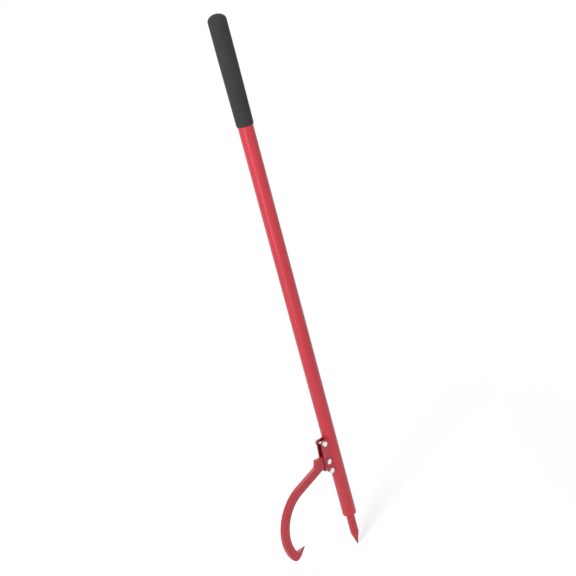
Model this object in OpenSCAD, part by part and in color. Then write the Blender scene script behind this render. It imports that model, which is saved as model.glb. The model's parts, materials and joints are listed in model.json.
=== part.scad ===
// Steel cant hook: a tube handle with a closed foam grip, a spike at its foot and a
// swinging hook carried between two ears that are welded to the side of the tube.
// Millimetres. The handle stands along Z, the hook reaches towards -X and its pivot lies along Y.
// The origin is on the handle's axis, at the lower end of the tube.

/* [Handle tube] */
// Outside diameter of the tube
tube_od = 31.75; // [28:0.05:36]
// Wall of the tube
tube_wall = 2; // [1.5:0.1:4]
// Length of the tube
tube_length = 1120; // [800:1:1400]
// Chamfer round the tube's lower end
tube_chamfer = 1; // [0.2:0.1:1.4]

/* [Grip] */
// Thickness of the grip's sleeve over its upper part
grip_wall = 2.7; // [2:0.1:6]
// Thickness of the sleeve at its lower lip
grip_lip_wall = 1.8; // [1.6:0.1:4]
// Length of the grip from its lip to its closed top
grip_length = 219; // [180:1:350]
// Length of the stretch that narrows towards the lip
grip_taper = 130; // [20:1:150]
// Thickness of the closed top above the tube's end
grip_cap = 14; // [10:0.5:20]
// Height of the dome that the top is rounded to
grip_dome = 13.5; // [4:0.5:16]
// Radius of the rounded lip
grip_lip_round = 1.5; // [0.4:0.1:1.5]

/* [Spike] */
// Diameter of the spike's parallel shank
spike_d = 19.05; // [13:0.05:22]
// Length of the parallel shank below the tube
spike_shank = 53; // [20:1:90]
// Length of the tapered point
spike_point = 32; // [10:1:60]
// Diameter of the blunt end of the point
spike_tip_d = 1.5; // [0.5:0.1:4]
// Depth of the shoulder between the shank and its thinner tail
spike_shoulder = 1.5; // [0.5:0.1:3]
// Length of the tail inside the tube
spike_tail = 45; // [30:1:90]
// Length of the plug that centres the tail in the tube
plug_length = 20; // [8:1:26]
// Depth of the weld that closes the tube's end round the tail
end_weld_depth = 3; // [1.5:0.1:4]

/* [Ears] */
// Thickness of each ear plate
ear_thickness = 3.2; // [2:0.1:6]
// Ear plate outside the upper bolt's axis
ear_edge_upper = 6; // [5:0.1:9]
// Ear plate outside the pivot's axis
ear_edge_pivot = 9; // [7:0.1:14]
// Ear plate above the upper bolt's axis
ear_edge_top = 6.2; // [5:0.1:12]
// Ear plate below the lower bolt's axis
ear_edge_foot = 9.6; // [7:0.1:14]
// Radius of the upper outer corner
ear_top_round = 3; // [0.5:0.1:4]
// Radius of the lower outer corner
ear_foot_round = 22; // [8:0.5:24]
// Leg of the weld between each ear and the tube
ear_weld_leg = 5; // [2:0.1:6]
// Distance of the weld's ends from the ear's top and foot
ear_weld_inset = 6; // [2:0.5:20]

/* [Bolts] */
// Diameter of the bolts
bolt_d = 6.35; // [5:0.05:7.5]
// Width across the flats of the heads and nuts
hex_af = 11.1; // [9:0.1:13]
// Height of the bolt heads
head_h = 4.1; // [3:0.1:6]
// Height of the nuts
nut_h = 5.6; // [4:0.1:8]
// Length of thread past the nut
bolt_tail = 2.6; // [1.2:0.1:8]
// Outside diameter of the washers
washer_od = 12.7; // [11:0.1:13.5]
// Thickness of the washers
washer_t = 1.6; // [0.8:0.1:2.5]
// Height of the pivot above the tube's lower end
pivot_height = 158.5; // [100:0.5:300]
// Distance of the pivot's axis from the tube's surface
pivot_offset = 13.7; // [12.5:0.1:22]
// Height of the upper bolt above the pivot
upper_bolt_rise = 44; // [38:0.5:70]
// Drop of the lower bolt below the pivot
lower_bolt_drop = 24; // [19:0.5:40]
// Distance of the upper and lower bolts from the tube's surface
side_bolt_offset = 12.3; // [9:0.1:18]

/* [Hook] */
// Thickness of the hook's bar
hook_thickness = 9.5; // [5:0.1:14]
// Width of the hook's bar
hook_width = 19; // [15:0.5:21]
// Length of the straight arm from the pivot to the bend
hook_arm = 96; // [70:1:160]
// Radius of the bend at the middle of the bar
hook_bend = 89; // [50:1:140]
// Angle that the bend turns through
hook_sweep = 107; // [80:1:140]
// Angle of the arm below level in the pose shown
hook_droop = 10.7; // [0:0.1:30]
// Radius of the head round the pivot
head_round = 11; // [10.6:0.1:12]
// Distance of the heel's corner from the pivot, along the arm
heel_along = 25; // [20:0.5:34]
// Distance of the heel's corner from the arm's middle line
heel_rise = 22.5; // [16:0.5:26]
// Angle between the heel's outer side and the arm
heel_side = 61; // [45:1:85]
// Radius between the heel's outer side and the arm
heel_fillet = 6; // [1:0.5:10]
// Reach of the tip inwards past the bend's inner edge
tip_reach = 22; // [10:0.5:32]
// Distance of the tip past the end of the bend, and radius of the corner behind it
tip_drop = 13.5; // [5:0.5:16]
// Thickness of the hook at its sharp end
tip_t = 1.4; // [0.6:0.1:4]

/* [Clearances] */
// Gap on each side of the hook between the ears
hook_side_gap = 0.4; // [0.3:0.05:1]
// Gap round a bolt in its holes
bolt_gap = 0.08; // [0.02:0.01:0.1]
// Gap round a bolt inside its washers
washer_gap = 0.3; // [0.1:0.05:0.6]
// Gap between pieces that are welded or pushed together
joint_gap = 0.05; // [0.02:0.01:0.2]

/* [Hidden] */
$fn = 96;
tube_r = tube_od / 2;
tube_bore_r = tube_r - tube_wall;

grip_bore_r = tube_r + joint_gap;
grip_r = grip_bore_r + grip_wall;
grip_lip_r = grip_bore_r + grip_lip_wall;
grip_top_z = tube_length + grip_cap;
grip_low_z = grip_top_z - grip_length;
grip_dome_z = grip_top_z - grip_dome;

spike_r = spike_d / 2;
tail_r = spike_r - spike_shoulder;

ear_inner_y = hook_thickness / 2 + hook_side_gap;
ear_outer_y = ear_inner_y + ear_thickness;
ear_cope_r = tube_r + joint_gap;

pivot_x = -(tube_r + pivot_offset);
side_bolt_x = -(tube_r + side_bolt_offset);
pivot = [pivot_x, pivot_height];
upper_bolt = [side_bolt_x, pivot_height + upper_bolt_rise];
lower_bolt = [side_bolt_x, pivot_height - lower_bolt_drop];
// The three bolts, from the top down
bolt_places = ["upper", "pivot", "lower"];
bolt_axes = [upper_bolt, pivot, lower_bolt];
bolt_r = bolt_d / 2;
bolt_hole_r = bolt_r + bolt_gap;

ear_top_z = upper_bolt[1] + ear_edge_top;
ear_foot_z = lower_bolt[1] - ear_edge_foot;
ear_top_x = side_bolt_x - ear_edge_upper;
ear_foot_x = pivot_x - ear_edge_pivot;

bend_in_r = hook_bend - hook_width / 2;
bend_out_r = hook_bend + hook_width / 2;
bend_centre = [hook_arm, -hook_bend];
bend_end = 90 - hook_sweep;
tip_r = bend_in_r - tip_reach;
// The point is thinned from just inside the bend's inner edge
thinning_r = bend_in_r - tip_t;

// How far a cutter runs past the face that it cuts
over = 1;
// Angle of the cone that turns off a hexagon's corners
hex_cone = 30;
// Turned end face of a hexagon, as a share of its width across the flats
hex_turned = 0.95;
// Chamfer on a bolt's end, as a share of its diameter
bolt_end_chamfer = bolt_d / 8;
// Line inside the tube that the ears and welds are drawn to before the tube's curve is cut away
under_tube_x = -tube_r / 3;

// Rolled steel edges are painted a little deeper than the tube
red_paint = [0.78, 0.16, 0.20];
red_edge = [0.70, 0.14, 0.18];
bare_zinc = [0.80, 0.81, 0.82];
foam_black = [0.20, 0.20, 0.21];

// Points along an arc, from one angle to another
function arc(centre, r, from, to, steps) =
    [for (i = [0:steps]) let (a = from + (to - from) * i / steps) centre + r * [cos(a), sin(a)]];

// A flat plate drawn in X and Z, with its lower face at y_low
module plate(y_low, thickness) {
    translate([0, y_low + thickness, 0])
        rotate([90, 0, 0])
            linear_extrude(thickness)
                children();
}

// A disc or hexagon whose axis lies along Y, growing from y_low
module along_y(axis, y_low) {
    translate([axis[0], y_low, axis[1]])
        rotate([-90, 0, 0])
            children();
}

// A hexagon with its corners turned off to a cone at the outer end
module hex_block(height) {
    corner_r = hex_af / 2 / cos(180 / 6);
    turned_r = hex_af / 2 * hex_turned;
    turned_h = (corner_r - turned_r) * tan(hex_cone);
    intersection() {
        cylinder(r = corner_r, h = height, $fn = 6);
        union() {
            cylinder(r = corner_r, h = height - turned_h);
            translate([0, 0, height - turned_h])
                cylinder(r1 = corner_r, r2 = turned_r, h = turned_h);
        }
    }
}

module handle_tube() {
    color(red_paint)
        rotate_extrude()
            polygon([
                [tube_bore_r, 0],
                [tube_r - tube_chamfer, 0],
                [tube_r, tube_chamfer],
                [tube_r, tube_length],
                [tube_bore_r, tube_length]
            ]);
}

module grip() {
    color(foam_black)
        rotate_extrude()
            polygon(concat(
                [[grip_bore_r, grip_low_z]],
                arc([grip_lip_r - grip_lip_round, grip_low_z + grip_lip_round], grip_lip_round, -90, 0, 6),
                [[grip_r, grip_low_z + grip_taper]],
                [for (a = [0:6:90]) [grip_r * cos(a), grip_dome_z + grip_dome * sin(a)]],
                [[0, tube_length + joint_gap], [grip_bore_r, tube_length + joint_gap]]
            ));
}

module spike() {
    color(red_edge)
        union() {
            cylinder(r = tail_r, h = spike_tail);
            translate([0, 0, -spike_shank])
                cylinder(r = spike_r, h = spike_shank);
            translate([0, 0, -spike_shank - spike_point])
                cylinder(r1 = spike_tip_d / 2, r2 = spike_r, h = spike_point);
        }
}

module ring_on_tail(z_low, height) {
    translate([0, 0, z_low])
        difference() {
            cylinder(r = tube_bore_r - joint_gap, h = height);
            translate([0, 0, -over])
                cylinder(r = tail_r + joint_gap, h = height + 2 * over);
        }
}

module end_plug() {
    color(bare_zinc)
        ring_on_tail(end_weld_depth, plug_length);
}

module end_weld() {
    color(red_edge)
        ring_on_tail(0, end_weld_depth);
}

module ear_outline() {
    lean = atan2(ear_top_x - ear_foot_x, ear_top_z - pivot_height);
    corner_x = ear_top_x + ear_top_round * (1 / cos(lean) - tan(lean));
    corner = [corner_x, ear_top_z - ear_top_round];
    foot = [ear_foot_x + ear_foot_round, ear_foot_z + ear_foot_round];
    difference() {
        polygon(concat(
            [[under_tube_x, ear_foot_z]],
            arc(foot, ear_foot_round, 270, 180, 16),
            [[ear_foot_x, pivot_height]],
            arc(corner, ear_top_round, 180 - lean, 90, 6),
            [[under_tube_x, ear_top_z]]
        ));
        for (axis = bolt_axes)
            translate(axis)
                circle(bolt_hole_r);
    }
}

module ear(y_low) {
    color(red_paint)
        difference() {
            plate(y_low, ear_thickness)
                ear_outline();
            translate([0, 0, ear_foot_z - over])
                cylinder(r = ear_cope_r, h = ear_top_z - ear_foot_z + 2 * over);
        }
}

module near_ear() {
    ear(-ear_outer_y);
}

module far_ear() {
    ear(ear_inner_y);
}

// The fillet between an ear's outer face and the tube, on the +Y side
module ear_weld() {
    face_y = ear_outer_y + joint_gap;
    root_angle = asin(face_y / ear_cope_r);
    toe_angle = root_angle + ear_weld_leg / ear_cope_r * 180 / PI;
    root_x = -ear_cope_r * cos(root_angle);
    translate([0, 0, ear_foot_z + ear_weld_inset])
        linear_extrude(ear_top_z - ear_foot_z - 2 * ear_weld_inset)
            difference() {
                polygon([
                    [root_x - ear_weld_leg, face_y],
                    ear_cope_r * [-cos(toe_angle), sin(toe_angle)],
                    [under_tube_x, face_y]
                ]);
                circle(ear_cope_r);
            }
}

module near_ear_weld() {
    color(red_edge)
        mirror([0, 1, 0])
            ear_weld();
}

module far_ear_weld() {
    color(red_edge)
        ear_weld();
}

module head_washer(axis) {
    color(bare_zinc)
        along_y(axis, -ear_outer_y - washer_t)
            washer();
}

module nut_washer(axis) {
    color(bare_zinc)
        along_y(axis, ear_outer_y)
            washer();
}

module washer() {
    difference() {
        cylinder(d = washer_od, h = washer_t);
        translate([0, 0, -over])
            cylinder(r = bolt_r + washer_gap, h = washer_t + 2 * over);
    }
}

// A hex bolt from its head on the -Y side to its bare end past the nut
module bolt(axis) {
    stack = 2 * (ear_outer_y + washer_t);
    shank = stack + nut_h + bolt_tail;
    color(bare_zinc)
        along_y(axis, -stack / 2) {
            mirror([0, 0, 1])
                hex_block(head_h);
            cylinder(r = bolt_r, h = shank - bolt_end_chamfer);
            translate([0, 0, shank - bolt_end_chamfer])
                cylinder(r1 = bolt_r, r2 = bolt_r - bolt_end_chamfer, h = bolt_end_chamfer);
        }
}

module nut(axis) {
    color(bare_zinc)
        along_y(axis, ear_outer_y + washer_t)
            difference() {
                hex_block(nut_h);
                translate([0, 0, -over])
                    cylinder(r = bolt_r + joint_gap, h = nut_h + 2 * over);
            }
}

// The hook's outline, with the pivot at the origin, the arm along X and the heel above it
module hook_outline() {
    half = hook_width / 2;
    head_foot = -asin(half / head_round);
    heel_corner = [heel_along, heel_rise];
    heel_back = atan2(heel_rise, heel_along) + acos(head_round / norm(heel_corner));
    heel_foot_x = heel_along + (heel_rise - half) / tan(heel_side);
    fillet_x = heel_foot_x + heel_fillet * tan(heel_side / 2);
    end_way = [cos(bend_end), sin(bend_end)];
    behind_tip = bend_centre + (bend_out_r - tip_drop) * end_way;
    tip = bend_centre + tip_r * end_way + tip_drop * [end_way[1], -end_way[0]];
    polygon(concat(
        arc([0, 0], head_round, 360 + head_foot, heel_back, 24),
        [heel_corner],
        arc([fillet_x, half + heel_fillet], heel_fillet, 270 - heel_side, 270, 8),
        arc(bend_centre, bend_out_r, 90, bend_end, 48),
        arc(behind_tip, tip_drop, bend_end, bend_end - 90, 12),
        [tip],
        arc(bend_centre, bend_in_r, bend_end, 90, 48)
    ));
}

// The wedge that one face of the point is thinned by, drawn at the end of the bend
module point_cut() {
    slope = (hook_thickness - tip_t) / 2 / (thinning_r - tip_r);
    rotate([90, 0, 0])
        linear_extrude(tip_drop + over)
            polygon([
                [thinning_r + over, hook_thickness / 2 + slope * over],
                [tip_r - over, tip_t / 2 - slope * over],
                [tip_r - over, hook_thickness / 2 + 2 * over],
                [thinning_r + over, hook_thickness / 2 + 2 * over]
            ]);
}

// The hook with its pivot at the origin, its arm along X and its thickness along Z
module hook_flat() {
    difference() {
        translate([0, 0, -hook_thickness / 2])
            linear_extrude(hook_thickness)
                hook_outline();
        for (side = [0, 1])
            mirror([0, 0, side])
                translate(bend_centre)
                    rotate([0, 0, bend_end])
                        point_cut();
        cylinder(r = bolt_hole_r, h = hook_thickness + 2 * over, center = true);
    }
}

module hook() {
    color(red_edge)
        translate([pivot[0], 0, pivot[1]])
            rotate([90, 0, 0])
                rotate([0, 0, hook_droop])
                    mirror([1, 0, 0])
                        hook_flat();
}

handle_tube();
grip();
spike();
end_plug();
end_weld();
near_ear();
far_ear();
near_ear_weld();
far_ear_weld();
hook();
for (i = [0 : len(bolt_places) - 1]) {
    place = bolt_places[i];
    axis = bolt_axes[i];
    bolt(axis);
    nut(axis);
    head_washer(axis);
    nut_washer(axis);
}
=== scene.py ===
"""Looks of a steel cant hook: painted tube, foam grip, ground spike, swinging hook and zinc bolts.

Every piece is built in metres round the packed model and in its frame. The handle stands along Z,
the hook reaches towards -X, and its pivot lies along Y with the bolt heads on the -Y side.
"""

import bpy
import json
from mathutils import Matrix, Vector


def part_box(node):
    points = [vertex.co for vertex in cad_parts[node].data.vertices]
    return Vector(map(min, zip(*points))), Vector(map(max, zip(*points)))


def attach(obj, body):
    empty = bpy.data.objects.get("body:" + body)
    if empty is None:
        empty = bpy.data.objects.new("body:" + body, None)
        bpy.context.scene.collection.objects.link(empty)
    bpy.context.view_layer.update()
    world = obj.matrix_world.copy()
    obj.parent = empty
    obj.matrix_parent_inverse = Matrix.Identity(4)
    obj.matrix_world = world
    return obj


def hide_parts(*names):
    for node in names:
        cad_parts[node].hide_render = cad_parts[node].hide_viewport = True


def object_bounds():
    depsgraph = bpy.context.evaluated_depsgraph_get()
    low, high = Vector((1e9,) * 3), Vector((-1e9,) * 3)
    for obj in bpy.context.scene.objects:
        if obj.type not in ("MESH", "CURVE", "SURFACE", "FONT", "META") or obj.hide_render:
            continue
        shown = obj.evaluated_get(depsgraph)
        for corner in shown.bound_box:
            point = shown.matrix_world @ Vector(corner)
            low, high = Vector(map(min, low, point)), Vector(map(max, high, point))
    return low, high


bl_info = {
    "name": "Cant hook",
    "version": (1, 0, 0),
    "blender": (4, 5, 0),
    "location": "3D View > Sidebar > Cant hook",
    "description": "Builds the pieces, finishes and stage of a steel cant hook",
    "category": "Object",
}

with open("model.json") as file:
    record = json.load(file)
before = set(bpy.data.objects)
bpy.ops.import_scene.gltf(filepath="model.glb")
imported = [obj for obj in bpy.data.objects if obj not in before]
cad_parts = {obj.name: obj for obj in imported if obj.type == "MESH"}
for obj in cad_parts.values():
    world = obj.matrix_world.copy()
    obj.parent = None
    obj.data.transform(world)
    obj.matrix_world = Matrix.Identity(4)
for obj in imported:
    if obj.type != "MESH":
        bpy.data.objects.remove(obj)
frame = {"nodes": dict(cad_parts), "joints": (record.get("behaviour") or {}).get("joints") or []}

import json
from functools import cache
from math import acos, asin, atan2, cos, pi, radians, sin, sqrt, tan

import bmesh
import bpy
from bpy.props import FloatProperty, FloatVectorProperty, PointerProperty
from bpy.types import Operator, Panel, PropertyGroup
from mathutils import Matrix, Vector

CAD_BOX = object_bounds()

# Places that the packed model gives
PIVOT = Vector(frame["joints"][0]["pos_m"])
TUBE_LOW, TUBE_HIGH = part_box("handle_tube")
GRIP_LOW, GRIP_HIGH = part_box("grip")
SPIKE_LOW, SPIKE_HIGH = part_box("spike")
PLUG_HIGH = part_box("end_plug")[1]
EAR_LOW, EAR_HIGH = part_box("far_ear")
HOOK_LOW, HOOK_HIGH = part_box("hook")
BOLT_PLACES = ("upper", "pivot", "lower")

# Points closer than this are one point
SAME_POINT = 1e-6

# Angle from which two faces keep a crease between them, and a finer one for bolts and nuts
CREASE = radians(35)
HEX_CREASE = radians(25)

# Ear edges nearer than these to the ear's root and to a bolt's axis stay sharp
EAR_ROOT_CLEAR = 0.003
EAR_HOLE_CLEAR = 0.004

# An ear's weld: its size at its very ends, its swell at each ripple and its waver, as shares of its
# full size, the waver's turn for each step along it, and the steps along a ripple and across the weld
BEAD_END = 0.12
BEAD_SWELL = 0.02
BEAD_WAVER = 0.015
BEAD_WAVER_TURN = 0.23
RIPPLE_STEPS = 8
FILLET_STEPS = 10

# Height of the troughs between a weld's ripples, as a share of the crests' height
RIPPLE_TROUGH = 0.35

# How far a weld's root runs into the tube and into the ear
WELD_ROOT = Vector((0.0012, -0.0006, 0.0))

# The weld round the spike, in legs: its face as steps out from the spike and down, its last step in
# from the tube's bore and down, and the height of its waves
END_BEAD_FACE = ((0.0, 1.0), (0.45, 0.8), (1.2, 0.35))
END_BEAD_RIM = (0.4, 0.15)
END_BEAD_WAVE = 0.14

# Turns of the heads from the upper bolt down, which the nuts have from the lower one up
HEAD_TURNS = (radians(9), radians(-16), radians(24))

# Angle that a side of a hexagon spans, and the slope of the hexagon's turned chamfer
HEX_SIDE = radians(60)
CHAMFER = radians(30)

# A thread's ridge: the turns that it stops short, half its foot as a share of the pitch, where its
# crest starts and ends as shares of that half, and the steps in a turn
THREAD_SHORT = 1.6
THREAD_HALF = 0.44
THREAD_CREST = (0.85, 1.15)
THREAD_STEPS = 24

# How far the middle of a washer's rounded edge lies inside its face and its rim, in roundings
WASHER_MID = 0.3

# Distance between the rings that turning leaves on bolt heads, nuts and washers
TURNED_PITCH = 0.0005

# Painted shade in the gap between the ears: how far it reaches past their outer side, past their foot and
# into their inner faces, how far it stops below their top, and its inner end as a share of the tube's
# radius
SHADE_PAST_SIDE = 0.002
SHADE_PAST_FOOT = 0.001
SHADE_INTO_FACE = 0.0004
SHADE_BELOW_TOP = 0.002
SHADE_INNER_END = 0.8

# Strength and fade of the painted shade between the ears, of the painted shade rings round the washers
# and of the painted shade on the hook's head round the pivot, and that shade's radius
EAR_SHADE, EAR_SHADE_FADE = 0.6, 0.0018
RING_SHADE, RING_SHADE_FADE = 0.5, 0.0022
PIVOT_SHADE, PIVOT_SHADE_FADE = 0.6, 0.006
PIVOT_SHADE_RADIUS = 0.0075

# Roughness where shade is painted, and how metallic a worn point is
SHADE_ROUGHNESS = 0.7
POINT_METAL = 0.7

# Tones of the foam's lightest and darkest cells beside its own colour
FOAM_LIGHT = 1.35
FOAM_DARK = 0.62

# Where the floor starts and ends its fade, as shares of its radius
FLOOR_FADE = (0.45, 0.95)


# Properties

def length(name, description, default):
    """A size in metres."""
    return FloatProperty(name=name, description=description, default=default, min=0.0,
                         unit="LENGTH", precision=5)


def angle(name, description, degrees):
    """An angle, kept in radians."""
    return FloatProperty(name=name, description=description, default=radians(degrees), subtype="ANGLE")


def power(name, description, default):
    """A lamp's power in watts."""
    return FloatProperty(name=name, description=description, default=default, min=0.0, unit="POWER")


def colour(name, description, default):
    """A scene-linear colour."""
    return FloatVectorProperty(name=name, description=description, default=default, size=3,
                               subtype="COLOR", min=0.0, max=1.0)


class HandleSizes(PropertyGroup):
    """Sizes of the tube, the grip and the spike."""

    tube_radius: length("Tube radius", "Outside radius of the tube", TUBE_HIGH.x)
    tube_bore: length("Tube bore", "Inside radius of the tube", PLUG_HIGH.x)
    tube_end_round: length("Tube end round", "Radius of the tube's lower outer edge", 0.0014)
    grip_radius: length("Grip radius", "Outside radius of the grip's upper part", GRIP_HIGH.x)
    grip_lip_radius: length("Grip lip radius", "Outside radius of the grip at its lip", 0.017725)
    grip_taper: length("Grip taper", "Length of the stretch that narrows to the lip", 0.130)
    grip_dome: length("Grip dome", "Height of the dome that the top is rounded to", 0.0135)
    grip_lip_round: length("Grip lip round", "How far the lip's edge rounds inwards", 0.0017)
    grip_lip_height: length("Grip lip height", "Height over which the lip's edge rounds", 0.006)
    spike_radius: length("Spike radius", "Radius of the spike's shank", SPIKE_HIGH.x)
    spike_tail_radius: length("Spike tail radius", "Radius of the tail inside the tube", 0.008025)
    spike_point: length("Spike point", "Length of the tapered point", 0.032)
    spike_tip_radius: length("Spike tip radius", "Radius of the blunt tip", 0.00075)
    spike_shoulder_round: length("Spike shoulder round", "Radius where shank meets point", 0.012)
    end_bead: length("End bead", "Leg of the weld round the spike at the tube's end", 0.0016)


class BracketSizes(PropertyGroup):
    """Sizes of the two ears and their welds."""

    upper_margin: length("Upper margin", "Ear plate outside the upper bolt's axis", 0.006)
    top_round: length("Top round", "Radius of the ear's upper outer corner", 0.003)
    foot_round: length("Foot round", "Radius of the ear's lower outer corner", 0.022)
    edge_round: length("Edge round", "Rounding of the ear's sheared edges", 0.0006)
    hole_radius: length("Hole radius", "Radius of the bolt holes", 0.003255)
    weld_hollow: length("Weld hollow", "Radius of the hollow face of the fillet along each ear", 0.0105)
    weld_inset: length("Weld inset", "Distance of the fillet's ends from the ear's ends", 0.006)
    weld_ripple: length("Weld ripple", "Distance from one ripple of a weld to the next", 0.0038)
    weld_crest: length("Weld crest", "Height of a weld's ripples", 0.0008)
    weld_lead: length("Weld lead", "How far the middle of a ripple runs ahead of its ends", 0.0011)


class HookSizes(PropertyGroup):
    """Sizes of the hook's bar."""

    width: length("Width", "Width of the bar", 0.019)
    arm: length("Arm", "Length of the straight arm from the pivot to the bend", 0.096)
    bend: length("Bend", "Radius of the bend at the bar's middle", 0.089)
    sweep: angle("Sweep", "Angle that the bend turns through", 107)
    droop: angle("Droop", "Angle of the arm below level", 10.7)
    head: length("Head", "Radius of the head round the pivot", 0.011)
    heel_along: length("Heel along", "Distance of the heel's corner along the arm", 0.025)
    heel_rise: length("Heel rise", "Distance of the heel's corner from the arm's middle", 0.0225)
    heel_side: angle("Heel side", "Angle between the heel's outer side and the arm", 61)
    heel_fillet: length("Heel fillet", "Radius between the heel and the arm", 0.006)
    tip_reach: length("Tip reach", "Reach of the tip past the bend's inner edge", 0.022)
    tip_drop: length("Tip drop", "Distance of the tip past the end of the bend", 0.0135)
    tip_thickness: length("Tip thickness", "Thickness at the sharp end", 0.0014)
    edge_round: length("Edge round", "Rounding of the bar's rolled edges", 0.0003)
    point_round: length("Point round", "Rounding of the ground point's edges", 0.0003)


class FastenerSizes(PropertyGroup):
    """Sizes of the bolts, nuts and washers."""

    bolt_radius: length("Bolt radius", "Radius of the bolts", 0.003175)
    thread_pitch: length("Thread pitch", "Distance from one thread to the next", 0.00127)
    thread_depth: length("Thread depth", "Depth of the thread", 0.00055)
    flats: length("Flats", "Width across the flats of heads and nuts", 0.0111)
    turned_face: length("Turned face", "Radius of the turned face of a head or nut", 0.00527)
    washer_round: length("Washer round", "Rounding of the washers' edges", 0.0003)


class Finishes(PropertyGroup):
    """Colours of the paint, foam and metals, and how far the points are bare."""

    tube_red: colour("Tube red", "Powder coat on the tube, ears and welds", (0.60, 0.031, 0.050))
    hook_red: colour("Hook red", "Powder coat on the hook and the spike", (0.55, 0.025, 0.043))
    foam_black: colour("Foam black", "Foam of the grip", (0.029, 0.029, 0.0308))
    zinc: colour("Zinc", "Bright zinc plating of the bolts and nuts", (0.84, 0.835, 0.83))
    # The washers' tone is partly dull plating and partly painted shade round the bolt heads
    washer_zinc_and_shade: colour("Washer zinc and shade", "Dull zinc of the washers, darkened as painted shade round the heads", (0.30, 0.29, 0.285))
    bare_steel: colour("Bare steel", "Ground steel where paint has worn off", (0.085, 0.055, 0.052))
    # Colour of the painted shade between the ears, round the washers and on the hook's head
    painted_shade: colour("Painted shade", "Painted shade between the ears and round the washers", (0.035, 0.010, 0.010))
    spike_bare: length("Spike bare", "Length of bare steel at the spike's tip", 0.017)
    hook_bare: length("Hook bare", "Length of bare steel at the hook's tip", 0.011)


class StageSettings(PropertyGroup):
    """The camera, the light from all round and the floor."""

    camera_azimuth: angle("Camera azimuth", "Camera's turn towards the hook's side", 42)
    camera_tilt: angle("Camera tilt", "Camera's height as an angle", 20)
    camera_roll: angle("Camera roll", "Lean of the tool in the picture", 15.09)
    camera_distance: length("Camera distance", "From the camera to the point aimed at", 2.0715)
    camera_slide: length("Camera slide", "Sideways move that frames the tool", 0.00215)
    aim_height: length("Aim height", "Height of the point aimed at", 0.5638)
    lens: FloatProperty(name="Lens", description="Focal length", default=62.16, unit="CAMERA")
    world_level: FloatProperty(name="World level", description="Light from all round", default=0.525)
    floor_radius: length("Floor radius", "Radius of the floor", 0.9)
    floor_tone: colour("Floor tone", "Colour of the floor", (0.85, 0.85, 0.85))
    floor_lift: FloatProperty(name="Floor lift", description="White added to the lit floor", default=0.37)


def lamp_settings(lamp, azimuth, reach, height, aim, width, tall, watts):
    """A PropertyGroup with the place, size and power of one lamp."""
    name = lamp.title()
    settings = {
        "azimuth": angle(f"{name} azimuth", f"{name} lamp's turn towards the hook's side", azimuth),
        "reach": length(f"{name} reach", f"{name} lamp's distance from the handle's axis", reach),
        "height": length(f"{name} height", f"Height of the {lamp} lamp's middle", height),
        "aim": length(f"{name} aim", f"Height that the {lamp} lamp points at", aim),
        "width": length(f"{name} width", f"Width of the {lamp} lamp", width),
        "length": length(f"{name} length", f"Length of the {lamp} lamp", tall),
        "power": power(f"{name} power", f"{name} lamp's power", watts),
    }
    about = f"Place, size and power of the {lamp} lamp."
    return type(f"{name}Lamp", (PropertyGroup,), {"__doc__": about, "__annotations__": settings})


# Defaults of the lamps: azimuths in degrees, places and sizes in metres, and powers in watts
LAMPS = {
    "key": dict(azimuth=70, reach=1.0, height=1.5, aim=0.95, width=0.45, tall=0.45, watts=6.3),
    "strip": dict(azimuth=75, reach=1.2, height=0.8, aim=0.8, width=0.4, tall=1.6, watts=5.3),
    "back": dict(azimuth=-147, reach=1.0, height=0.85, aim=0.12, width=0.4, tall=0.4, watts=1.9),
}

PROPERTY_GROUPS = {
    "hook_handle": HandleSizes,
    "hook_bracket": BracketSizes,
    "hook_bar": HookSizes,
    "hook_fasteners": FastenerSizes,
    "hook_finishes": Finishes,
    "hook_stage": StageSettings,
    **{f"hook_{lamp}_lamp": lamp_settings(lamp, **values) for lamp, values in LAMPS.items()},
}


# Mesh tools

def verts_in(geom):
    """The vertices among what an operator made."""
    return [g for g in geom if isinstance(g, bmesh.types.BMVert)]


class Pen:
    """Draws a wire of straight and round strokes in the XZ plane."""

    def __init__(self, bm, x, z):
        self.bm = bm
        self.tip = bm.verts.new((x, 0.0, z))

    def line(self, x, z):
        """Draws straight to a point and returns its vertex."""
        self.tip = bmesh.ops.extrude_vert_indiv(self.bm, verts=[self.tip])["verts"][0]
        self.tip.co = (x, 0.0, z)
        return self.tip

    def arc(self, x, z, turn, steps, stretch=1.0):
        """Turns about a point, clockwise seen from -Y if positive, and stretches the arc along Z."""
        drawn = set(self.bm.verts)
        start = Matrix.Translation((0, 0, -self.tip.co.z))
        made = bmesh.ops.spin(self.bm, geom=[self.tip], cent=(x, 0.0, z), axis=(0, 1, 0),
                              angle=turn, steps=steps)
        self.tip = verts_in(made["geom_last"])[0]
        added = [v for v in self.bm.verts if v not in drawn]
        bmesh.ops.scale(self.bm, vec=(1, 1, stretch), space=start, verts=added)


def merge(bm):
    """Joins points that lie together."""
    bmesh.ops.remove_doubles(bm, verts=bm.verts[:], dist=SAME_POINT)


def face_outwards(bm):
    """Turns all faces outwards."""
    merge(bm)
    bmesh.ops.recalc_face_normals(bm, faces=bm.faces[:])


def lathe(bm, steps):
    """Spins the wire drawn so far once round Z."""
    bmesh.ops.spin(bm, geom=bm.verts[:] + bm.edges[:], axis=(0, 0, 1), angle=2 * pi, steps=steps,
                   use_merge=True)
    face_outwards(bm)


def draw_hole(bm, x, z, radius):
    """Draws the circle of a bolt's hole in the XZ plane."""
    place = Matrix.Translation((x, 0, z)) @ Matrix.Rotation(pi / 2, 4, "X")
    bmesh.ops.create_circle(bm, segments=40, radius=radius, matrix=place)


def fill(bm, edges):
    """Fills an outline in the XZ plane and leaves its holes open."""
    bmesh.ops.triangle_fill(bm, edges=edges, use_beauty=True, normal=(0, -1, 0))


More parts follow.
